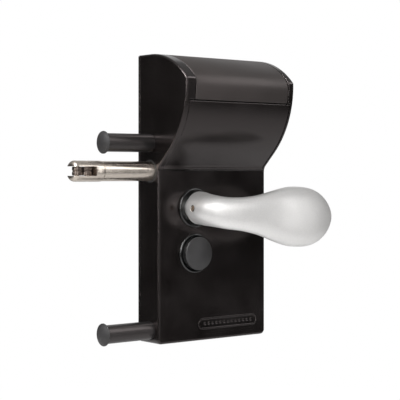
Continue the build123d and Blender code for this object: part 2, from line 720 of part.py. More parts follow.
def make_button_clip():
    seat = CASE_FRONT + 8.1
    clip = rod("Y", 7.2, seat, seat + 1.0, HANDLE_X, BUTTON_Z)
    clip -= rod("Y", BUTTON_STEM_R + 0.03, -9, 9, HANDLE_X, BUTTON_Z)
    return clip - block((HANDLE_X, HANDLE_X + 9), (-9, 9), (BUTTON_Z - 3.4, BUTTON_Z + 3.4))


def make_bolts():
    bolts = []
    for z in BOLT_Z:
        bolt = Pos(-UPRIGHT_DEPTH + 5.4, 0, z) * Rot(0, -90, 0) * pan_screw(BOLT_R, 61.0, 6.4, 4.6, 5.0)
        bolts.append(bolt)
    return bolts


def make_sleeves():
    sleeves = []
    for z in BOLT_Z:
        sleeve = rod("X", SLEEVE_R, -UPRIGHT_DEPTH, SLEEVE_SEAT - 0.05, 0, z)
        sleeve -= rod("X", BOLT_R + 0.25, -60, 5, 0, z)
        sleeves.append(sleeve - rod("X", 6.7, -60, -UPRIGHT_DEPTH + 5.4, 0, z))
    return sleeves


def make_caps():
    caps = []
    sag = 3.0
    dome_r = (CAP_R**2 + sag**2) / (2 * sag)
    for z in BOLT_Z:
        dome = Pos(-UPRIGHT_DEPTH - 0.6 - sag + dome_r, 0, z) * Sphere(dome_r)
        dome &= rod("X", CAP_R, -UPRIGHT_DEPTH - 6, -UPRIGHT_DEPTH - 0.5, 0, z)
        cap = dome + rod("X", CAP_R, -UPRIGHT_DEPTH - 0.6, -UPRIGHT_DEPTH, 0, z)
        caps.append(cap)
    return caps


def make_nut_blocks():
    blocks = []
    for z in BOLT_Z:
        nut = block((MOUNT_WALL, 18.0), (-7.5, 7.5), (z - 6.2, z + 6.2))
        blocks.append(nut - rod("X", BOLT_R + 0.02, 0, 25, 0, z))
    return blocks


def make_badge():
    """A plain raised plate with a rim, round at both ends, low on the front."""
    x, z = (BADGE_X[0] + BADGE_X[1]) / 2, BADGE_Z
    length = BADGE_X[1] - BADGE_X[0]
    plate = extrude(SlotOverall(length, BADGE_HEIGHT), amount=0.8)
    recess = extrude(SlotOverall(length - 2 * BADGE_RIM, BADGE_HEIGHT - 2 * BADGE_RIM), amount=1.0)
    return Pos(x, CASE_FRONT, z) * Rot(90, 0, 0) * (plate - Pos(0, 0, 0.35) * recess)


def make_gasket():
    margin = 1.2
    outer = block(
        (margin, CASE_WIDTH - margin),
        (SHELL_BACK, SHELL_BACK + GASKET_THICK),
        (CASE_BOTTOM + margin, CASE_TOP - margin),
    )
    outer = fillet(outer.edges().filter_by(Axis.Y).sort_by(Axis.Z)[0:2], CORNER_R - 1)
    return outer - block(CAVITY_X, (0, CASE_BACK), CAVITY_Z)


def make_release_bar():
    """The bar that the code chamber lets down over the follower's heel."""
    bar = block(RELEASE_X, RELEASE_Y, (-28.0, 66.0))
    foot = block((58.0, RELEASE_X[1]), (RELEASE_Y[0], 2.6), (-28.0, -25.0))
    return bar + foot


def make_release_guide():
    """The bridge on the front wall that the release bar slides through."""
    low, high = RELEASE_X[0] - 0.15, RELEASE_X[1] + 0.15
    bridge = block((low - 3, high + 3), (CASE_FRONT + WALL, RELEASE_Y[1] + 1.8), (8.0, 13.0))
    return bridge - block((low, high), (RELEASE_Y[0] - 0.15, RELEASE_Y[1] + 0.15), (5, 16))


def make_cover_screws():
    screws = []
    for x, z in COVER_SCREWS:
        head = Pos(0, 0, -1.0) * Cone(2.1, 4.2, 2.0) - hex_socket(1.4, 2.5)
        screw = head + Pos(0, 0, -7.0) * Cylinder(1.6, 11.0)
        screws.append(Pos(x, CASE_BACK - 0.05, z) * Rot(-90, 0, 0) * screw)
    return screws


def make_keypad_screws():
    """Screws that hold the keypad housing, driven from inside the casing."""
    seat = CASE_FRONT + WALL
    screw = pan_screw(1.6, 11.0, 3.0, 2.0, 2.0)
    return [Pos(x, seat, z) * Rot(-90, 0, 0) * screw for x, z in KEYPAD_SCREWS]


def make_chassis_screws():
    screw = pan_screw(1.6, 9.0, 3.0, 1.6, 2.0)
    return [Pos(x, CHASSIS_Y[1], z) * Rot(-90, 0, 0) * screw for x, z in CHASSIS_SCREWS]


save("casing", make_casing())
save("rear_cover", make_rear_cover())
save("keypad_housing", make_keypad_housing())
save("keypad_plate", make_keypad_plate())
save("code_chamber", make_code_chamber())
for number, (x, t) in enumerate(key_places(), start=1):
    save(f"key_{number:02d}", make_key(x, t))
save("key_springs", Compound(children=make_key_springs()))
save("flap", make_flap())
save("flap_hinge_pin", rod("X", HINGE_PIN_R, *HINGE_PIN_X, HINGE_Y, HINGE_Z))
save("flap_spring", make_flap_spring())
for name, side in (("front", -1), ("rear", 1)):
    save(f"{name}_handle", make_handle(side))
    save(f"{name}_set_screw", make_set_screw(side))
    save(f"{name}_spindle", make_spindle(side))
    save(f"{name}_collar", make_collar(side))
save("follower", make_follower())
save("follower_bush", make_follower_bush())
save("handle_return_spring", make_return_spring())
save("latch_head", make_latch_head())
for name, x in zip(("front_roller", "rear_roller"), roller_places()):
    save(name, make_roller(x))
save("roller_pins", Compound(children=make_roller_pins()))
save("latch_shank", make_latch_shank())
save("latch_tail", make_latch_tail())
save("latch_guide_bush", make_latch_guide())
save("latch_rear_guide", make_rear_guide())
save("latch_spring", make_latch_spring())
save("chassis_plate", make_chassis_plate())
save("chassis_posts", Compound(children=make_chassis_posts()))
save("reset_button", make_button())
save("button_collar", make_button_collar())
save("button_spring", make_button_spring())
save("button_clip", make_button_clip())
save("fixing_bolts", Compound(children=make_bolts()))
save("fixing_sleeves", Compound(children=make_sleeves()))
save("bolt_caps", Compound(children=make_caps()))
save("nut_blocks", Compound(children=make_nut_blocks()))
save("badge", make_badge())
save("gasket", make_gasket())
save("release_bar", make_release_bar())
save("release_guide", make_release_guide())
save("cover_screws", Compound(children=make_cover_screws()))
save("keypad_screws", Compound(children=make_keypad_screws()))
save("chassis_screws", Compound(children=make_chassis_screws()))
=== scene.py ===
"""The looks of a surface-mounted gate code lock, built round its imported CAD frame.

Lengths are in metres, X runs across, Y from front to back and Z up.
"""

import json
import math
from functools import partial

import bmesh
import bpy
from mathutils import Matrix, Vector


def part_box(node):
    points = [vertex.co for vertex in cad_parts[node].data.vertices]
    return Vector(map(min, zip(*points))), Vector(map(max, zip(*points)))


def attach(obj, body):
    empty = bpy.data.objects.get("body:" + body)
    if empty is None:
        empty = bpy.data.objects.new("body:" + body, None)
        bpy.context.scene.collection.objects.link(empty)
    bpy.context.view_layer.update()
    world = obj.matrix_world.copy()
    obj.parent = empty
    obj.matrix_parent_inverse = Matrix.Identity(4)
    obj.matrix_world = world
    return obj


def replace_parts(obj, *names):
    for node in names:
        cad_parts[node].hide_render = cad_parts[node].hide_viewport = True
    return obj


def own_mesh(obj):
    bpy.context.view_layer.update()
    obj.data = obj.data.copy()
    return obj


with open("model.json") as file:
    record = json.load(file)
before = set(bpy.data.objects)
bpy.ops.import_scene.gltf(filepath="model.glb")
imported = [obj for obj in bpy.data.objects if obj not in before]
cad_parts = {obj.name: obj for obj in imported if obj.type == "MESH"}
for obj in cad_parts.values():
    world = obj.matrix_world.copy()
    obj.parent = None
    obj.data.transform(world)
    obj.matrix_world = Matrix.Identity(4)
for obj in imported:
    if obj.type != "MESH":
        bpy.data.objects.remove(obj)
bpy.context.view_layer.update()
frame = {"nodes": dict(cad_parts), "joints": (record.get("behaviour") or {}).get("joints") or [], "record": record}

MM = 0.001
NEAR = 1e-7  # points that are closer than this are one point
SHARP = 34  # edges that turn by more degrees than this stay crisp
CORNER = 50  # soften rounds the edges that turn by more degrees than this
nodes = frame["nodes"]
joints = {joint["name"]: joint for joint in frame["joints"]}


# ---------------------------------------------------------------- places read from the frame
def middle_of(node):
    """The middle of a CAD node's box."""
    low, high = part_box(node)
    return (low + high) / 2


SPINDLE = Vector(joints["front_handle_turn"]["pos_m"])
FLAP_AXIS = Vector(joints["flap_hinge"]["pos_m"])
FRONT_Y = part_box("badge")[1].y
BACK_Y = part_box("rear_cover")[1].y
CASE_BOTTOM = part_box("rear_cover")[0].z
BUTTON_Z = middle_of("button_collar").z
LATCH_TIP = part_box("latch_head")[0].x
LATCH_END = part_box("latch_head")[1].x


# ---------------------------------------------------------------- shader nodes
MIX_FIRST, MIX_SECOND, MIX_RESULT = 6, 7, 2  # the Mix node's sockets for colours


def plug(tree, socket, value):
    """Set a socket to a constant, or link it to another node's output."""
    if isinstance(value, bpy.types.NodeSocket):
        tree.links.new(value, socket)
    else:
        socket.default_value = value


def add_node(tree, kind, inputs=None, **settings):
    node = tree.nodes.new("ShaderNode" + kind)
    for key, value in settings.items():
        setattr(node, key, value)
    for key, value in (inputs or {}).items():
        plug(tree, node.inputs[key], value)
    return node


class Graph:
    """A material's node tree round one Principled shader."""

    def __init__(self, name, **constants):
        self.material = bpy.data.materials.new(name)
        self.material.use_nodes = True
        self.tree = self.material.node_tree
        self.tree.nodes.clear()
        self.shader = self.add("BsdfPrincipled")
        self.output = self.add("OutputMaterial", {"Surface": self.shader.outputs[0]})
        for socket, value in constants.items():
            self.set(socket.replace("_", " "), value)

    def add(self, kind, inputs=None, **settings):
        return add_node(self.tree, kind, inputs, **settings)

    def set(self, socket, value):
        plug(self.tree, self.shader.inputs[socket], value)

    def noise(self, scale, detail, stretch=(1, 1, 1)):
        """Noise on the piece's own coordinates; scale is about how many lumps there are in a metre."""
        place = self.add("TexCoord").outputs["Object"]
        moved = self.add("Mapping", {"Vector": place, "Scale": stretch}).outputs[0]
        return self.add("TexNoise", {"Vector": moved, "Scale": scale, "Detail": detail}).outputs[0]

    def spread(self, value, low, high, to_low=0.0, to_high=1.0):
        """Map low..high onto to_low..to_high, held at the ends."""
        inputs = {"Value": value, "From Min": low, "From Max": high}
        inputs.update({"To Min": to_low, "To Max": to_high})
        return self.add("MapRange", inputs).outputs[0]

    def maths(self, operation, a, b):
        return self.add("Math", {0: a, 1: b}, operation=operation).outputs[0]

    def blend(self, factor, first, second):
        """Mix two colours. Each is an (r, g, b) or another node's output."""
        first, second = ((*c, 1) if isinstance(c, tuple) else c for c in (first, second))
        inputs = {"Factor": factor, MIX_FIRST: first, MIX_SECOND: second}
        return self.add("Mix", inputs, data_type="RGBA").outputs[MIX_RESULT]

    def mix_shader(self, factor, first, second):
        return self.add("MixShader", {0: factor, 1: first, 2: second}).outputs[0]

    def edges(self, radius):
        """The rounded normal, and how close a point is to an outer edge, from 0 to 1. Away from edges
        the rounded normal's dot product with the flat one is 1."""
        normal = self.add("Bevel", {"Radius": radius}, samples=4).outputs[0]
        flat = self.add("NewGeometry").outputs["Normal"]
        product = self.add("VectorMath", {0: normal, 1: flat}, operation="DOT_PRODUCT")
        return normal, self.spread(product.outputs["Value"], 0.99, 0.86)

    def bump(self, height, depth, normal):
        inputs = {"Height": height, "Distance": depth, "Strength": 1.0, "Normal": normal}
        return self.add("Bump", inputs).outputs[0]


# ---------------------------------------------------------------- materials
def tone(colour, factor, lift=0.0):
    """The colour made darker or lighter."""
    return tuple(min(1.0, c * factor + lift) for c in colour)


def coat(name, colour, worn, roughness, peel, depth, rounding):
    """Powder coat: orange peel, slow changes of gloss, and edges made lighter in chips, partly as wear of the
    paint and partly as a painted highlight.
    """
    g = Graph(name, Specular_IOR_Level=0.65, Specular_Tint=(1.0, 0.87, 0.86, 1.0))
    normal, edge = g.edges(rounding)
    clouds = g.noise(26, detail=5)
    lumps = g.noise(peel, detail=1)
    grit = g.noise(peel * 5, detail=3)
    height = g.maths("ADD", lumps, g.maths("MULTIPLY", grit, 0.3))
    # edges lighter in random chips: partly wear of the paint, partly a painted highlight along the rounded edges
    chipped_and_highlit_edges = g.maths("MULTIPLY", edge, g.spread(g.noise(420, detail=4), 0.35, 0.7))
    shade = g.blend(g.spread(clouds, 0.3, 0.75), colour, tone(colour, 1.35, 0.0008))
    g.set("Base Color", g.blend(chipped_and_highlit_edges, shade, worn))
    gloss = g.spread(clouds, 0.3, 0.7, roughness - 0.05, roughness + 0.06)
    g.set("Roughness", g.maths("SUBTRACT", gloss, g.maths("MULTIPLY", chipped_and_highlit_edges, 0.1)))
    g.set("Normal", g.bump(height, depth, normal))
    return g.material


def metal(
    name, colour, dark, roughness, grain, depth, stretch=(1, 1, 1), rounding=0.3 * MM, metallic=1.0
):
    """Bare or anodised metal: a fine grain, drawn out by stretch, and slightly cloudy gloss."""
    g = Graph(name, Metallic=metallic)
    normal, edge = g.edges(rounding)
    lines = g.noise(grain, detail=4, stretch=stretch)
    clouds = g.noise(45, detail=4)
    shade = g.blend(g.spread(clouds, 0.35, 0.75), colour, tone(colour, 0.93))
    shade = g.blend(g.maths("MULTIPLY", g.spread(lines, 0.62, 0.3), 0.35), shade, dark)
    g.set("Base Color", g.blend(g.maths("MULTIPLY", edge, 0.4), shade, tone(colour, 1.15)))
    gloss = g.maths("ADD", lines, clouds)
    g.set("Roughness", g.spread(gloss, 0.7, 1.3, roughness - 0.06, roughness + 0.07))
    g.set("Normal", g.bump(lines, depth, normal))
    return g.material


def plastic(name, colour, light, roughness, grain, depth, rounding=0.3 * MM, shine=0.45):
    """Moulded plastic or rubber: fine spark grain and a little dust in it."""
    g = Graph(name, Specular_IOR_Level=shine)
    normal, edge = g.edges(rounding)
    dust = g.spread(g.noise(60, detail=6), 0.45, 0.8)
    pale = g.maths("MAXIMUM", g.maths("MULTIPLY", dust, 0.5), edge)
    g.set("Base Color", g.blend(pale, colour, light))
    g.set("Roughness", g.spread(dust, 0, 1, roughness, roughness + 0.1))
    g.set("Normal", g.bump(g.noise(grain, detail=3), depth, normal))
    return g.material


COATS = {
    "powder_coat": {
        "colour": (0.0018, 0.0014, 0.0013),
        "worn": (0.034, 0.031, 0.03),
        "roughness": 0.19,
        "peel": 520,
        "depth": 0.01 * MM,
        "rounding": 1.0 * MM,
    },
    "flap_coat": {
        "colour": (0.0105, 0.009, 0.0082),
        "worn": (0.07, 0.066, 0.06),
        "roughness": 0.48,
        "peel": 900,
        "depth": 0.015 * MM,
        "rounding": 0.8 * MM,
    },
    "badge_coat": {
        "colour": (0.0026, 0.0022, 0.0021),
        "worn": (0.06, 0.056, 0.053),
        "roughness": 0.13,
        "peel": 700,
        "depth": 0.006 * MM,
        "rounding": 0.4 * MM,
    },
    "dark_zinc": {
        "colour": (0.006, 0.006, 0.006),
        "worn": (0.05, 0.05, 0.05),
        "roughness": 0.33,
        "peel": 1500,
        "depth": 0.01 * MM,
        "rounding": 0.3 * MM,
    },
}
METALS = {
    "satin_aluminium": {
        "colour": (0.72, 0.71, 0.7),
        "dark": (0.58, 0.57, 0.56),
        "roughness": 0.42,
        "grain": 800,
        "depth": 0.016 * MM,
        "rounding": 0.5 * MM,
        "metallic": 0.68,
    },
    "stainless": {
        "colour": (0.68, 0.61, 0.54),
        "dark": (0.5, 0.44, 0.38),
        "roughness": 0.25,
        "grain": 110,
        "depth": 0.0012 * MM,
        "stretch": (1, 60, 60),
    },
    "zinc_steel": {
        "colour": (0.56, 0.57, 0.58),
        "dark": (0.3, 0.3, 0.32),
        "roughness": 0.36,
        "grain": 900,
        "depth": 0.02 * MM,
    },
    "spring_steel": {
        "colour": (0.2, 0.165, 0.145),
        "dark": (0.07, 0.055, 0.048),
        "roughness": 0.34,
        "grain": 1500,
        "depth": 0.01 * MM,
    },
    "key_plate": {
        "colour": (0.075, 0.075, 0.08),
        "dark": (0.03, 0.03, 0.03),
        "roughness": 0.4,
        "grain": 50,
        "depth": 0.02 * MM,
        "stretch": (1, 70, 70),
    },
    "key_metal": {
        "colour": (0.74, 0.74, 0.73),
        "dark": (0.4, 0.4, 0.4),
        "roughness": 0.22,
        "grain": 1500,
        "depth": 0.01 * MM,
    },
    "bronze": {
        "colour": (0.46, 0.3, 0.15),
        "dark": (0.15, 0.09, 0.04),
        "roughness": 0.45,
        "grain": 1800,
        "depth": 0.03 * MM,
    },
}
PLASTICS = {
    "black_gloss": {
        "colour": (0.006, 0.006, 0.006),
        "light": (0.014, 0.014, 0.014),
        "roughness": 0.08,
        "grain": 1400,
        "depth": 0.004 * MM,
        "shine": 0.9,
    },
    "dark_plastic": {
        "colour": (0.0188, 0.018, 0.0184),
        "light": (0.037, 0.036, 0.037),
        "roughness": 0.42,
        "grain": 1900,
        "depth": 0.03 * MM,
    },
    "nylon": {
        "colour": (0.02, 0.02, 0.02),
        "light": (0.05, 0.05, 0.05),
        "roughness": 0.5,
        "grain": 1200,
        "depth": 0.02 * MM,
    },
    "rubber": {
        "colour": (0.012, 0.012, 0.012),
        "light": (0.03, 0.03, 0.03),
        "roughness": 0.7,
        "grain": 1300,
        "depth": 0.04 * MM,
    },
}
materials = {}
for make, looks in ((coat, COATS), (metal, METALS), (plastic, PLASTICS)):
    for look_name, look in looks.items():
        materials[look_name] = make(look_name, **look)

slot_of = {sub["node"]: sub["material_slot"] for sub in frame["record"]["subparts"]}
for node_name, node in nodes.items():
    for material_slot in node.material_slots:
        material_slot.material = materials[slot_of[node_name]]


# ---------------------------------------------------------------- mesh helpers
def finish_mesh(name, bm, finish, body, sharp=SHARP):
    """Make a piece of a bmesh, with its material and the body that it rides on."""
    bmesh.ops.remove_doubles(bm, verts=bm.verts, dist=NEAR)
    bmesh.ops.recalc_face_normals(bm, faces=bm.faces)
    mesh = bpy.data.meshes.new(name)
    bm.to_mesh(mesh)
    bm.free()
    piece = bpy.data.objects.new(name, mesh)
    bpy.context.scene.collection.objects.link(piece)
    piece.data.materials.append(materials[finish])
    sharpen(piece, sharp)
    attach(piece, body)
    return piece


def sharpen(piece, sharp=SHARP):
    """Shade smooth, except across edges that turn by more than sharp degrees."""
    bm = bmesh.new()
    bm.from_mesh(piece.data)
    for face in bm.faces:
        face.smooth = True
    for edge in bm.edges:
        turned = edge.calc_face_angle(0.0) if len(edge.link_faces) == 2 else math.pi
        edge.smooth = turned < math.radians(sharp)
    bm.to_mesh(piece.data)
    bm.free()


def bake_modifiers(piece):
    """Apply the piece's modifiers to its mesh."""
    bpy.context.view_layer.update()
    graph = bpy.context.evaluated_depsgraph_get()
    done = bpy.data.meshes.new_from_object(piece.evaluated_get(graph))
    piece.modifiers.clear()
    piece.data = done
    sharpen(piece)


def soften(piece, width, segments=3):
    """Round the piece's corners."""
    bevel = piece.modifiers.new("bevel", "BEVEL")
    bevel.width = width
    bevel.segments = segments
    bevel.limit_method = "ANGLE"
    bevel.angle_limit = math.radians(CORNER)
    bevel.miter_outer = "MITER_ARC"
    bake_modifiers(piece)


def cut(piece, bm):
    """Take a closed bmesh out of the piece."""
    mesh = bpy.data.meshes.new("cutter")
    bmesh.ops.recalc_face_normals(bm, faces=bm.faces)
    bm.to_mesh(mesh)
    bm.free()
    cutter = bpy.data.objects.new("cutter", mesh)
    bpy.context.scene.collection.objects.link(cutter)
    boolean = piece.modifiers.new("cut", "BOOLEAN")
    boolean.object = cutter
    boolean.operation = "DIFFERENCE"
    boolean.solver = "EXACT"
    bake_modifiers(piece)
    bpy.data.objects.remove(cutter)


def aim(axis, origin):
    """The matrix that takes local +Z to the axis and the local origin to origin."""
    turn = Vector(axis).to_track_quat("Z", "Y").to_matrix().to_4x4()
    return Matrix.Translation(origin) @ turn


def rounded(points, radii, steps=6):
    """A polyline with arcs at its inner corners; radii has one entry for each inner corner."""
    points = [Vector(p) for p in points]
    path = [points[0]]
    for before, corner, after, radius in zip(points, points[1:], points[2:], radii):
        if radius == 0:
            path.append(corner)
            continue
        a, b = (before - corner).normalized(), (after - corner).normalized()
        half = a.angle(b) / 2
        reach = radius / math.tan(half)
        centre = corner + (a + b).normalized() * radius / math.sin(half)
        start, end = corner + a * reach - centre, corner + b * reach - centre
        turn = math.pi - 2 * half
        for step in range(steps + 1):
            t = step / steps
            arm = start * math.sin((1 - t) * turn) + end * math.sin(t * turn)
            path.append(centre + arm / math.sin(turn))
    path.append(points[-1])
    return path


def pairs(points):
    return [tuple(point) for point in points]


def dome(radius, base, rise, steps=12):
    """Profile points of a shallow dome, from its rim in to the axis: (radius, height)."""
    sphere = (radius**2 + rise**2) / (2 * rise)
    points = []
    for step in range(steps + 1):
        r = radius - radius * step / steps
        points.append((r, base + rise - sphere + math.sqrt(sphere**2 - r**2)))
    return points


def add_lathe(bm, profile, matrix, segments=96, wave=None):
    """Turn a profile of (radius, height) points about the matrix's Z axis. A profile that ends where it
    starts makes a ring. wave(angle) scales the radius."""
    rings = []
    for radius, height in profile:
        if radius < NEAR:
            rings.append([bm.verts.new(matrix @ Vector((0, 0, height)))])
            continue
        ring = []
        for k in range(segments):
            angle = 2 * math.pi * k / segments
            r = radius * (wave(angle) if wave else 1)
            place = Vector((r * math.cos(angle), r * math.sin(angle), height))
            ring.append(bm.verts.new(matrix @ place))
        rings.append(ring)
    closed = (Vector(profile[0]) - Vector(profile[-1])).length < NEAR
    join_rings(bm, rings, not closed)


def join_rings(bm, rings, capped=True):
    """Faces between each ring and the next. A ring of one vertex is a pole, and capped end rings get a
    face."""
    for first, second in zip(rings, rings[1:]):
        count = max(len(first), len(second))
        for k in range(count):
            n = (k + 1) % count
            if len(first) == 1:
                bm.faces.new((first[0], second[n], second[k]))
            elif len(second) == 1:
                bm.faces.new((first[k], first[n], second[0]))
            else:
                bm.faces.new((first[k], first[n], second[n], second[k]))
    for ring in (rings[0], rings[-1]):
        if capped and len(ring) > 2:
            bm.faces.new(ring)


def lathe(name, profile, axis, origin, finish, body, segments=128):
    """A turned piece: the profile's heights run along the axis from the origin."""
    bm = bmesh.new()
    add_lathe(bm, profile, aim(axis, origin), segments)
    return finish_mesh(name, bm, finish, body)


def add_prism(bm, outline, x_low, x_high):
    """A closed outline of (y, z) points, extended along X."""
    ends = [[bm.verts.new((x, y, z)) for y, z in outline] for x in (x_low, x_high)]
    count = len(outline)
    for k in range(count):
        n = (k + 1) % count
        bm.faces.new((ends[0][k], ends[0][n], ends[1][n], ends[1][k]))
    for end in ends:
        bm.faces.new(end)


# ---------------------------------------------------------------- lever handles
# a lever's sections, in millimetres and degrees: across, out from the face, up, heading, half width,
# half height, and the power of the superellipse, where 2 is an ellipse and more is squarer
STATIONS = [
    (0.0, 7.0, 0.0, 90, 15.0, 15.0, 2.0),
    (0.0, 13.0, -0.4, 89, 14.9, 14.9, 2.0),
    (0.0, 17.0, -1.0, 85, 14.6, 14.7, 2.0),
    (-0.3, 20.5, -1.3, 74, 13.4, 14.55, 2.05),
    (0.1, 24.75, -1.8, 60, 11.5, 14.4, 2.1),
    (2.3, 30.0, -2.7, 47, 10.0, 14.3, 2.2),
    (8.4, 35.7, -4.1, 38, 9.2, 14.4, 2.3),
    (19.6, 42.7, -5.1, 32, 9.0, 15.1, 2.35),
    (33.3, 48.5, -6.0, 23, 9.8, 17.8, 2.4),
    (47.7, 51.8, -7.0, 13, 11.6, 22.4, 2.5),
    (60.1, 52.9, -7.7, 4, 13.5, 25.7, 2.6),
    (71.0, 53.0, -8.1, 0, 14.55, 27.4, 2.65),
    (87.0, 53.0, -8.6, 0, 14.3, 27.0, 2.6),
    (100.0, 52.9, -8.8, 0, 12.4, 23.5, 2.4),
    (111.0, 52.7, -9.0, 0, 8.9, 16.8, 2.1),
    (117.6, 52.6, -9.0, 0, 4.8, 8.8, 2.0),
    (119.6, 52.6, -9.0, 0, 1.9, 3.6, 2.0),
]
LEVER_TIP = (120.0, 52.6, -9.0)  # across, out and up, in millimetres
# the shank and the hub's rounded foot, in millimetres: out from the face and radius
FOOT = [(-6.0, 9.98), (5.6, 9.98), (5.95, 10.4), (6.0, 13.9), (6.12, 14.45), (6.45, 14.85)]
LEVER_SHARP = 40
HUB_R = 15.0 * MM
SCREW_OUT = 15.1 * MM
# the cutter of the set screw's hole, from 2 mm outside the hub in: (radius, depth)
SCREW_START = 2 * MM
SCREW_CUTTER = [(4.0 * MM, 0), (3.1 * MM, 2.5 * MM), (3.1 * MM, 12 * MM)]


def catmull_rom(a, b, c, d, t):
    """The curve from b, where t is 0, to c, where t is 1."""
    square = 2 * a - 5 * b + 4 * c - d
    cube = 3 * b - a - 3 * c + d
    return 0.5 * (2 * b + (c - a) * t + square * t * t + cube * t**3)


def smooth_stations(steps=8):
    """The stations, with smooth ones between them."""
    last = len(STATIONS) - 1
    for index in range(last):
        around = [STATIONS[min(max(index + offset, 0), last)] for offset in (-1, 0, 1, 2)]
        for step in range(steps):
            yield [catmull_rom(*four, step / steps) for four in zip(*around)]
    yield STATIONS[-1]


def on_lever(side, face_y, across, out, up):
    """A place on a lever; across, out and up are in millimetres, from the spindle and the face."""
    return Vector((SPINDLE.x + across * MM, face_y + side * out * MM, SPINDLE.z + up * MM))


def lever_ring(bm, station, side, face_y, count=96):
    """The vertices round one section of a lever."""
    across, out, up, heading, half_width, half_height, power = station
    angle = math.radians(heading)
    wide = Vector((math.sin(angle), -side * math.cos(angle), 0)) * half_width * MM
    high = Vector((0, 0, 1)) * half_height * MM
    centre = on_lever(side, face_y, across, out, up)
    ring = []
    for k in range(count):
        theta = 2 * math.pi * k / count
        c, s = math.cos(theta), math.sin(theta)
        w = math.copysign(abs(c) ** (2 / power), c)
        h = math.copysign(abs(s) ** (2 / power), s)
        ring.append(bm.verts.new(centre + wide * w + high * h))
    return ring


def lever(name, side, face_y, body, node):
    """A lever in one smooth skin: shank, hub with a rounded foot, neck and paddle. The set screw's hole
    is cut into the hub."""
    bm = bmesh.new()
    rings = [lever_ring(bm, (0, out, 0, 90, r, r, 2), side, face_y) for out, r in FOOT]
    rings += [lever_ring(bm, station, side, face_y) for station in smooth_stations()]
    rings.append([bm.verts.new(on_lever(side, face_y, *LEVER_TIP))])
    join_rings(bm, rings)
    piece = finish_mesh(name, bm, "satin_aluminium", body, LEVER_SHARP)
    hole = bmesh.new()
    start = Vector((SPINDLE.x - HUB_R - SCREW_START, face_y + side * SCREW_OUT, SPINDLE.z))
    add_lathe(hole, SCREW_CUTTER, aim((1, 0, 0), start), 48)
    cut(piece, hole)
    sharpen(piece, LEVER_SHARP)
    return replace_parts(piece, node)


levers = [
    lever("outer_lever_skin", -1, FRONT_Y, "front_lever", "front_handle"),
    lever("inner_lever_skin", 1, BACK_Y, "rear_lever", "rear_handle"),
]


# ---------------------------------------------------------------- collars, button and caps
COLLAR_R = 17.8 * MM
BUTTON_R = 15.0 * MM
SPINDLE_BORE = 10.05 * MM
BUTTON_BORE = 5.05 * MM


def collar(name, side, face_y, z, bore, depth, node):
    """A flanged ring with a raised, rounded rim round a recess."""
    back = -6.0 * MM
    flange = COLLAR_R - 1.9 * MM
    recess = COLLAR_R - 2.0 * MM
    points = [
        (bore, back),
        (flange, back),
        (flange, 0),
        (COLLAR_R, 0),
        (COLLAR_R, 2.0 * MM),
        (recess, 1.8 * MM),
        (recess, -depth),
        (bore, -depth),
        (bore, back),
    ]
    path = rounded(points, (0, 0, 0.1 * MM, 0.95 * MM, 0.6 * MM, 0.5 * MM, 0.2 * MM))
    origin = Vector((SPINDLE.x, face_y, z))
    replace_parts(lathe(name, path, (0, side, 0), origin, "black_gloss", "lock_body"), node)


collar("outer_lever_ring", -1, FRONT_Y, SPINDLE.z, SPINDLE_BORE, 1.6 * MM, "front_collar")
collar("inner_lever_ring", 1, BACK_Y, SPINDLE.z, SPINDLE_BORE, 1.6 * MM, "rear_collar")
collar("button_ring", -1, FRONT_Y, BUTTON_Z, BUTTON_BORE, 5.4 * MM, "button_collar")


def button():
    """The round reset button: a grained dome with a soft shoulder, a black gloss sleeve round its side that is
    painted shade for the side wall sitting in shadow, and its stem."""
    stem_end, stem_step, underside, side_top = -23.1 * MM, -14.5 * MM, 0.2 * MM, 7.2 * MM
    stem_r, thick_r = 3.2 * MM, 5 * MM
    stem = [(0, stem_end), (stem_r, stem_end), (stem_r, stem_step), (thick_r, stem_step)]
    skirt = [(thick_r, underside), (BUTTON_R - 0.3 * MM, underside), (BUTTON_R, 0.5 * MM)]
    crown = dome(BUTTON_R - 0.9 * MM, side_top + 0.25 * MM, 2.6 * MM)
    edge = [(BUTTON_R, 3 * MM), (BUTTON_R, side_top), crown[0], crown[2]]
    shoulder = rounded(edge, (0.9 * MM, 0.5 * MM))
    profile = stem + skirt + pairs(shoulder[1:-1]) + crown[2:]
    origin = Vector((SPINDLE.x, FRONT_Y, BUTTON_Z))
    piece = lathe("reset_button_dome", profile, (0, -1, 0), origin, "dark_plastic", "button")
    # the sleeve is painted shade: a black gloss band over the side wall, which sits in shadow in the ring's recess
    inner, outer, low, high = BUTTON_R - 0.4 * MM, BUTTON_R + 0.06 * MM, 0.6 * MM, 6.2 * MM
    section = [(inner, low), (outer, low), (outer, high), (inner, high)]
    shade_sleeve = rounded(section, (0.04 * MM, 0.04 * MM), 3)
    shade_sleeve.append(shade_sleeve[0])
    lathe("reset_button_shade_sleeve", shade_sleeve, (0, -1, 0), origin, "black_gloss", "button")
    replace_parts(piece, "reset_button")


button()


def caps():
    """The two domed caps over the fixing bolts."""
    low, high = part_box("bolt_caps")
    radius = (high.y - low.y) / 2
    crown = dome(radius - 0.7 * MM, 0.9 * MM, 2.6 * MM)
    edge = [(radius, 0), (radius, 0.8 * MM), crown[0], crown[2]]
    rim = rounded(edge, (0.5 * MM, 0.4 * MM))
    profile = [(0, 0)] + pairs(rim[:-1]) + crown[2:]
    bm = bmesh.new()
    for z in (low.z + radius, high.z - radius):
        add_lathe(bm, profile, aim((-1, 0, 0), Vector((high.x, 0, z))))
    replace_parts(finish_mesh("bolt_cap_domes", bm, "dark_plastic", "lock_body"), "bolt_caps")


caps()


# ---------------------------------------------------------------- latch
LATCH_R = 9.15 * MM
SLOT_HALF = 4.1 * MM
SLOT_DEPTH = 21.6 * MM
NOSE_ROUND = 4.2 * MM
ROLLER_PIN_R = 1.6 * MM
CLEAR = 12 * MM  # cutters reach this far from the latch's axis
FLUTES = 20
FLUTE_DEPTH = 0.02  # as a share of the roller's radius, from its middle


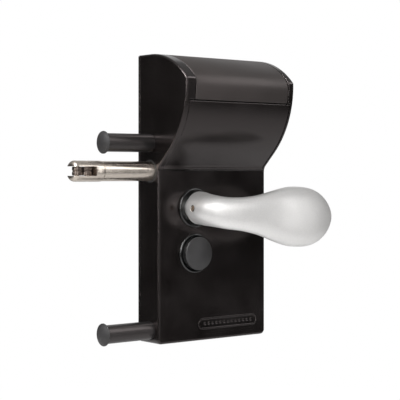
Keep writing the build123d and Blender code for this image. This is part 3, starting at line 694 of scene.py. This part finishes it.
def latch_fork():
    """The latch head: a turned nose, a slot with softened edges, and the roller pins' holes."""
    length = LATCH_END - LATCH_TIP
    points = [(0, 0), (LATCH_R, 0), (LATCH_R, -length), (0, -length)]
    path = rounded(points, (NOSE_ROUND, 1.0 * MM), 10)
    tip = Vector((LATCH_TIP, 0, 0))
    piece = lathe("latch_fork", path, (-1, 0, 0), tip, "stainless", "latch_bolt")
    slot = bmesh.new()
    across = [(-CLEAR, -SLOT_HALF), (CLEAR, -SLOT_HALF), (CLEAR, SLOT_HALF), (-CLEAR, SLOT_HALF)]
    add_prism(slot, across, LATCH_TIP - MM, LATCH_TIP + SLOT_DEPTH)
    cut(piece, slot)
    for node in ("front_roller", "rear_roller"):
        hole = bmesh.new()
        centre = Vector((middle_of(node).x, 0, 0))
        profile = [(ROLLER_PIN_R, -CLEAR), (ROLLER_PIN_R, CLEAR)]
        add_lathe(hole, profile, aim((0, 0, 1), centre), 48)
        cut(piece, hole)
    soften(piece, 0.4 * MM)
    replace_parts(piece, "latch_head")


latch_fork()


def fluted(angle):
    """How much smaller a roller is at an angle, because of its flutes."""
    return 1 - FLUTE_DEPTH * (1 + math.cos(FLUTES * angle))


def roller(name, node, body):
    """A latch roller: rounded rims, a shallow groove round its middle and fine flutes."""
    low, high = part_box(node)
    radius = (high.x - low.x) / 2
    half = (high.z - low.z) / 2
    bore = ROLLER_PIN_R + 0.05 * MM
    sunk = radius - 0.5 * MM
    upper = [(sunk, half), (radius, half - 0.6 * MM), (radius, 0.9 * MM), (sunk, 0.35 * MM)]
    lower = [(r, -z) for r, z in reversed(upper)]
    points = [(bore, half), *upper, *lower, (bore, -half)]
    path = rounded(points, [0.15 * MM] * (len(points) - 2), 3)
    path.append(path[0])
    bm = bmesh.new()
    centre = Vector(((low.x + high.x) / 2, 0, 0))
    add_lathe(bm, path, aim((0, 0, 1), centre), FLUTES * 8, fluted)
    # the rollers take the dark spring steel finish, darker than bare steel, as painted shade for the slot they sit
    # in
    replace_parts(finish_mesh(name, bm, "spring_steel", body), node)


roller("outer_roller_wheel", "front_roller", "roller_outer")
roller("inner_roller_wheel", "rear_roller", "roller_inner")


# ---------------------------------------------------------------- springs
COIL_STEPS = 24  # rings in a turn
WIRE_SIDES = 8  # points in a ring


def add_coil(bm, start, axis, radius, wire, length, turns):
    """A helical wire along the axis from start; wire is its thickness."""
    matrix = aim(axis, start)
    steps = round(COIL_STEPS * turns)
    up = Vector((0, 0, 1))
    rings = []
    for step in range(steps + 1):
        angle = 2 * math.pi * turns * step / steps
        outward = Vector((math.cos(angle), math.sin(angle), 0))
        centre = outward * radius + Vector((0, 0, length * step / steps))
        ring = []
        for k in range(WIRE_SIDES):
            around = 2 * math.pi * k / WIRE_SIDES
            point = centre + (outward * math.cos(around) + up * math.sin(around)) * wire / 2
            ring.append(bm.verts.new(matrix @ point))
        rings.append(ring)
    join_rings(bm, rings)


def spring(name, node, axis, radius, wire, turns):
    """A coil along X or Y that fills its CAD node's box."""
    low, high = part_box(node)
    axis = Vector(axis)
    length = (high - low).dot(axis) - wire
    bm = bmesh.new()
    add_coil(bm, (low + high) / 2 - axis * length / 2, axis, radius, wire, length, turns)
    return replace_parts(finish_mesh(name, bm, "spring_steel", "lock_body"), node)


def close_coil(piece):
    """Give the coil its own copy of its mesh."""
    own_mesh(piece)


def push_spring(name, node, axis, radius, wire, turns):
    """A spring that a sliding piece pushes along the axis, against its fixed far end."""
    piece = spring(name, node, axis, radius, wire, turns)
    close_coil(piece)


spring("flap_coil", "flap_spring", (1, 0, 0), 2.6 * MM, 0.7 * MM, 11)
spring("lever_coil", "handle_return_spring", (0, 1, 0), 13.6 * MM, 1.1 * MM, 2.5)
push_spring("latch_coil", "latch_spring", (1, 0, 0), 5.4 * MM, 1.3 * MM, 8)
push_spring("button_coil", "button_spring", (0, 1, 0), 7.4 * MM, 1.0 * MM, 2.5)


# ---------------------------------------------------------------- flap
# the hood's section is an arc over the roof, a rounded nose and an arc down the belly, in (y, z)
ROOF_R = 72.8 * MM
ROOF_CENTRE = Vector((0.0, FLAP_AXIS.z + 4.0 * MM - ROOF_R))
BELLY_R = 86.0 * MM
BELLY_CENTRE = Vector((32.3 * MM, 79.0 * MM))
ROOF_STEPS, ROOF_TRIM = 28, 5
BELLY_STEPS, BELLY_TRIM = 12, 6
FLAP_THICK = 3.0 * MM
NOSE_R = 16.0 * MM
INNER_NOSE_R = 12.0 * MM
WEB_THICK = 1.9 * MM
WEB_START = math.radians(9)
KNUCKLE_R, KNUCKLE_BORE = 4.0 * MM, 2.05 * MM
SPRING_GAP = (59 * MM, 73 * MM)  # where the knuckles leave room for the flap's spring, in X


def roof_at(inset, angle):
    """A point on the roof's arc; the angle starts at the top and runs forward."""
    r = ROOF_R - inset
    return ROOF_CENTRE + r * Vector((-math.sin(angle), math.cos(angle)))


def belly_at(inset, angle):
    """A point on the belly's arc; the angle starts level with its centre and runs down."""
    r = BELLY_R - inset
    return BELLY_CENTRE + r * Vector((-math.cos(angle), -math.sin(angle)))


def hood_crease(inset):
    """The angles, on the roof's and the belly's arcs, at which the two inset arcs cross."""
    r1, r2 = ROOF_R - inset, BELLY_R - inset
    between = BELLY_CENTRE - ROOF_CENTRE
    d = between.length
    along = (r1 * r1 - r2 * r2 + d * d) / (2 * d)
    off = math.sqrt(r1 * r1 - along * along)
    unit = between / d
    point = ROOF_CENTRE + unit * along + Vector((-unit.y, unit.x)) * off
    roof = math.atan2(-point.x, point.y - ROOF_CENTRE.y)
    belly = math.atan2(BELLY_CENTRE.y - point.y, BELLY_CENTRE.x - point.x)
    return roof, belly


def hood_path(inset, start, lip, nose):
    """Points down the hood from the roof angle start, round the nose, to the belly angle lip."""
    roof, belly = hood_crease(inset)
    roof_turn = (roof - start) / ROOF_STEPS
    belly_turn = (lip - belly) / BELLY_STEPS
    roof_run = [roof_at(inset, start + roof_turn * k) for k in range(ROOF_STEPS + 1)]
    belly_run = [belly_at(inset, belly + belly_turn * k) for k in range(BELLY_STEPS + 1)]
    trimmed_roof = roof_run[:-ROOF_TRIM]
    trimmed_belly = belly_run[BELLY_TRIM:]
    corner = rounded([trimmed_roof[-1], roof_run[-1], trimmed_belly[0]], [nose], 8)
    return [*trimmed_roof, *corner[1:-1], *trimmed_belly]


def lip_angle(inset):
    """The belly angle at which the inset arc is as low as the flap's lip."""
    return math.asin((BELLY_CENTRE.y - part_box("flap")[0].z) / (BELLY_R - inset))


def flap_skin():
    """The flap's curved skin, with rounded edges."""
    low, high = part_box("flap")
    outer = hood_path(0, 0.0, lip_angle(0), NOSE_R)
    inner = hood_path(FLAP_THICK, 0.0, lip_angle(FLAP_THICK), INNER_NOSE_R)
    bm = bmesh.new()
    add_prism(bm, [*outer, *reversed(inner)], low.x, high.x)
    piece = finish_mesh("flap_skin", bm, "flap_coat", "flap_lid")
    soften(piece, 0.8 * MM)
    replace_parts(piece, "flap")


def flap_webs():
    """The two webs under the ends of the skin."""
    low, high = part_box("flap")
    shallow = hood_path(1.0 * MM, WEB_START, lip_angle(0) - 0.01, 2.0 * MM)
    deep = hood_path(6.6 * MM, WEB_START, lip_angle(0), 0.5 * MM)
    bm = bmesh.new()
    inset = 0.05 * MM
    for x in (low.x + inset, high.x - inset - WEB_THICK):
        add_prism(bm, [*shallow, *reversed(deep)], x, x + WEB_THICK)
    piece = finish_mesh("flap_webs", bm, "flap_coat", "flap_lid")
    soften(piece, 0.3 * MM, 2)


def flap_knuckles():
    """The flap's hinge barrel, in two lengths on either side of its spring."""
    low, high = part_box("flap")
    chamfer = 0.4 * MM
    bm = bmesh.new()
    for x_low, x_high in ((low.x, SPRING_GAP[0]), (SPRING_GAP[1], high.x)):
        length = x_high - x_low
        end = [(KNUCKLE_BORE, 0), (KNUCKLE_R - chamfer, 0), (KNUCKLE_R, chamfer)]
        profile = [*end, *[(r, length - h) for r, h in reversed(end)], end[0]]
        foot = Vector((x_low, FLAP_AXIS.y, FLAP_AXIS.z))
        add_lathe(bm, profile, aim((1, 0, 0), foot), 64)
    finish_mesh("flap_knuckles", bm, "flap_coat", "flap_lid")


flap_skin()
flap_webs()
flap_knuckles()


# ---------------------------------------------------------------- badge
FIELD = 0.35 * MM  # how far the plate stands out inside its bead
OUTLINE_POINTS = 200
STUD_COUNT = 13
STUD_PITCH = 4.6 * MM


def stadium(length, height, count):
    """Points round a slot-shaped outline with straight sides along X, each with its outward normal."""
    r = height / 2
    flat = length - height
    half = flat + math.pi * r
    points = []
    for k in range(count):
        turned, run = divmod(2 * half * k / count, half)
        angle = -math.pi / 2 + max(0.0, run - flat) / r
        sign = -1 if turned else 1
        normal = Vector((math.cos(angle), math.sin(angle))) * sign
        centre = Vector((min(run, flat) - flat / 2, 0)) * sign
        points.append((centre + normal * r, normal))
    return points


def badge_plate():
    """The raised oval plate on the front, with a bead all round."""
    low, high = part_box("badge")
    centre = (low + high) / 2
    proud = high.y - low.y
    section = [(0, 0), (0, proud), (1.3 * MM, proud), (1.5 * MM, FIELD), (4 * MM, FIELD)]
    bm = bmesh.new()
    rings = []
    outline = stadium(high.x - low.x, high.z - low.z, OUTLINE_POINTS)
    for inward, out in rounded(section, (0.35 * MM, 0.3 * MM, 0.1 * MM), 4):
        places = [point - normal * inward for point, normal in outline]
        rings.append([bm.verts.new((centre.x + x, FRONT_Y - out, centre.z + z)) for x, z in places])
    join_rings(bm, rings)
    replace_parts(finish_mesh("badge_plate", bm, "badge_coat", "lock_body"), "badge")


def badge_studs():
    """A row of small domes on the badge, in place of any lettering."""
    centre = middle_of("badge")
    profile = dome(1.7 * MM, 0.3 * MM, 0.45 * MM, steps=6)
    bm = bmesh.new()
    for k in range(STUD_COUNT):
        across = (k - (STUD_COUNT - 1) / 2) * STUD_PITCH
        add_lathe(bm, profile, aim((0, -1, 0), (centre.x + across, FRONT_Y, centre.z)), 32)
    finish_mesh("badge_studs", bm, "badge_coat", "lock_body")


badge_plate()
badge_studs()


# ---------------------------------------------------------------- keys
MARKS = ["1", "2", "3", "4", "5", "6", "7", "8", "9", "0", "", "", "", ""]
KEY_R = 5.4 * MM
MARK_SIZE = 6.2 * MM
MARK_DEPTH = 0.12 * MM
MARK_SINK = 0.36 * MM  # from the rim of the dish down to the middle of the figure
STEM_R, FLANGE_R = 2.4 * MM, 6.4 * MM
# heights along a key's axis, from the top of its rim
KEY_FOOT, STEM_TOP, FLANGE_TOP, COIL_FOOT = -16.8 * MM, -7.4 * MM, -6.2 * MM, -14.35 * MM
COIL_R, COIL_WIRE, COIL_LENGTH = 3.6 * MM, 0.7 * MM, 6.8 * MM
# the dished top, from its rim to its middle: (radius, height)
DISH = [(4.3 * MM, -0.05 * MM), (3.2 * MM, -0.28 * MM), (1.6 * MM, -0.42 * MM), (0, -0.46 * MM)]


def key_axis(name):
    """A key's axis, out of the plate."""
    return -Vector(joints[name + "_press"]["axis"])


def key_top(name):
    """The middle of a key's top face."""
    out = key_axis(name)
    coords = [vertex.co for vertex in nodes[name].data.vertices]
    top = max(co.dot(out) for co in coords)
    middle = sum(coords, Vector()) / len(coords)
    return middle + out * (top - middle.dot(out))


def key_coil(name):
    """A key's return spring, under its flange."""
    out = key_axis(name)
    foot = key_top(name) + out * COIL_FOOT
    bm = bmesh.new()
    start = foot + out * COIL_WIRE / 2
    add_coil(bm, start, out, COIL_R, COIL_WIRE, COIL_LENGTH - COIL_WIRE, 3)
    piece = finish_mesh(name + "_coil", bm, "spring_steel", "lock_body")
    close_coil(piece)
    return piece


def key_mark(name, mark):
    """The raised figure in a key's dish."""
    text = bpy.data.curves.new(name + "_mark", "FONT")
    text.body = mark
    text.size = MARK_SIZE
    text.align_x = "CENTER"
    text.align_y = "CENTER"
    text.extrude = MARK_DEPTH
    text.resolution_u = 4
    figure = bpy.data.objects.new(name + "_mark", text)
    bpy.context.scene.collection.objects.link(figure)
    out, right = key_axis(name), Vector((1, 0, 0))
    basis = Matrix((right, out.cross(right), out)).transposed().to_4x4()
    figure.matrix_world = Matrix.Translation(key_top(name) - out * MARK_SINK) @ basis
    bpy.context.view_layer.update()
    graph = bpy.context.evaluated_depsgraph_get()
    mesh = bpy.data.meshes.new_from_object(figure.evaluated_get(graph))
    mesh.transform(figure.matrix_world)
    bpy.data.objects.remove(figure)
    bm = bmesh.new()
    bm.from_mesh(mesh)
    finish_mesh(name + "_mark", bm, "black_gloss", name + "_cap")


def key(name, mark):
    """A key: flange and stem below the plate, a head with a dished top, and its mark."""
    stem = [(0, KEY_FOOT), (STEM_R, KEY_FOOT), (STEM_R, STEM_TOP)]
    flange = [(FLANGE_R, STEM_TOP), (FLANGE_R, FLANGE_TOP), (KEY_R, FLANGE_TOP)]
    rim = rounded([(KEY_R, -6 * MM), (KEY_R, 0), DISH[0]], [0.7 * MM], 5)
    profile = stem + flange + pairs(rim[1:]) + DISH[1:]
    place = key_top(name)
    head = lathe(name + "_head", profile, key_axis(name), place, "key_metal", name + "_cap", 64)
    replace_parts(head, name)
    if mark:
        key_mark(name, mark)


for number, mark in enumerate(MARKS, start=1):
    key(f"key_{number:02d}", mark)
    return_coil = key_coil(f"key_{number:02d}")
    if number == 1:
        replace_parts(return_coil, "key_springs")


# ---------------------------------------------------------------- stage, light and camera
WHITE = (1.0, 1.0, 1.0, 1.0)
DIM = (0.03, 0.03, 0.03, 1.0)
TOP = (0.4, 0.4, 0.4, 1.0)
FLOOR_DROP = 0.3
MIDDLE = (0.06, -0.02, -0.03)
# each softbox: its place, its width and height, and its power in watts
LIGHTS = {
    "key_light": ((-1.0, -1.1, 0.55), (1.1, 1.1), 10),
    "rim_light": ((-0.85, 0.0, 1.0), (0.25, 0.9), 20),
    "left_light": ((-1.09, -0.63, 0.3), (0.07, 1.1), 5),
    "spot_light": ((-1.06, -0.52, 0.41), (0.16, 0.16), 3.2),
    "strip_light": ((0.66, -1.4, 0.25), (0.26, 1.4), 2.6),
    "right_light": ((1.0, -0.85, 0.92), (0.9, 0.9), 7),
    "lever_light": ((1.0, -1.2, 0.15), (0.9, 0.9), 1.7),
    "back_light": ((0.9, 0.9, 0.6), (0.8, 0.8), 1),
}


def floor():
    """A pale card that fades into the white around it. In reflections it is toned down by about half
    near the lock, and dim from two metres on."""
    bm = bmesh.new()
    bmesh.ops.create_grid(bm, x_segments=2, y_segments=2, size=12)
    mesh = bpy.data.meshes.new("floor")
    bm.to_mesh(mesh)
    bm.free()
    piece = bpy.data.objects.new("floor", mesh)
    piece.location = (SPINDLE.x, SPINDLE.y, CASE_BOTTOM - FLOOR_DROP)
    bpy.context.scene.collection.objects.link(piece)
    g = Graph("floor_card", Base_Color=(0.88, 0.88, 0.88, 1))
    g.set("Roughness", g.spread(g.noise(9, detail=4), 0.3, 0.7, 0.7, 0.85))
    place = g.add("TexCoord").outputs["Object"]
    away = g.add("VectorMath", {0: place}, operation="LENGTH").outputs["Value"]
    white = g.add("Emission", {"Color": WHITE}).outputs[0]
    dim = g.add("Emission", {"Color": DIM}).outputs[0]
    card = g.mix_shader(g.spread(away, 0.5, 1.5), g.shader.outputs[0], white)
    glossy = g.add("LightPath").outputs["Is Glossy Ray"]
    darkened = g.maths("MULTIPLY", glossy, g.spread(away, 0.95, 2.0, 0.56, 1.0))
    plug(g.tree, g.output.inputs["Surface"], g.mix_shader(darkened, card, dim))
    piece.data.materials.append(g.material)


def softbox(name, place, size, power):
    """A rectangular light that points at the middle of the lock."""
    light = bpy.data.lights.new(name, "AREA")
    light.shape = "RECTANGLE"
    light.size, light.size_y = size
    light.energy = power
    holder = bpy.data.objects.new(name, light)
    holder.matrix_world = aim(Vector(place) - Vector(MIDDLE), Vector(place))
    bpy.context.scene.collection.objects.link(holder)
    return holder


def link_light(light, pieces, state):
    """Make the light spare the pieces, with EXCLUDE, or reach nothing but them, with INCLUDE."""
    receivers = bpy.data.collections.new(light.name + "_receivers")
    light.light_linking.receiver_collection = receivers
    for piece in pieces:
        receivers.objects.link(piece)
    for member in receivers.collection_objects:
        member.light_linking.link_state = state


def sky():
    """White all round, and for reflections a room that is dark at eye level and light above."""
    world = bpy.data.worlds.new("studio")
    bpy.context.scene.world = world
    world.use_nodes = True
    world.node_tree.nodes.clear()
    add = partial(add_node, world.node_tree)
    place = add("TexCoord").outputs["Generated"]
    ramp = add("ValToRGB", {0: add("SeparateXYZ", {0: place}).outputs["Z"]})
    for stop, position, colour in zip(ramp.color_ramp.elements, (0.1, 0.9), (DIM, TOP)):
        stop.position = position
        stop.color = colour
    room = add("Background", {0: ramp.outputs["Color"]}).outputs[0]
    white = add("Background", {0: WHITE}).outputs[0]
    glossy = add("LightPath").outputs["Is Glossy Ray"]
    add("OutputWorld", {0: add("MixShader", {0: glossy, 1: white, 2: room}).outputs[0]})


def camera():
    """Level with the latch, off to the left of the front."""
    data = bpy.data.cameras.new("camera")
    data.lens = 110.7
    data.sensor_width = 36.0
    data.shift_y = -0.0693
    data.clip_start = 0.01
    holder = bpy.data.objects.new("camera", data)
    holder.location = (-0.653, -0.8934, -0.001)
    holder.rotation_euler = (math.radians(90), 0, math.radians(-38.5))
    bpy.context.scene.collection.objects.link(holder)
    bpy.context.scene.camera = holder


floor()
sky()
lights = {name: softbox(name, *light) for name, light in LIGHTS.items()}
for spared in ("rim_light", "left_light", "right_light"):
    link_light(lights[spared], levers, "EXCLUDE")
link_light(lights["lever_light"], levers, "INCLUDE")
camera()
bpy.context.scene.view_settings.view_transform = "Standard"
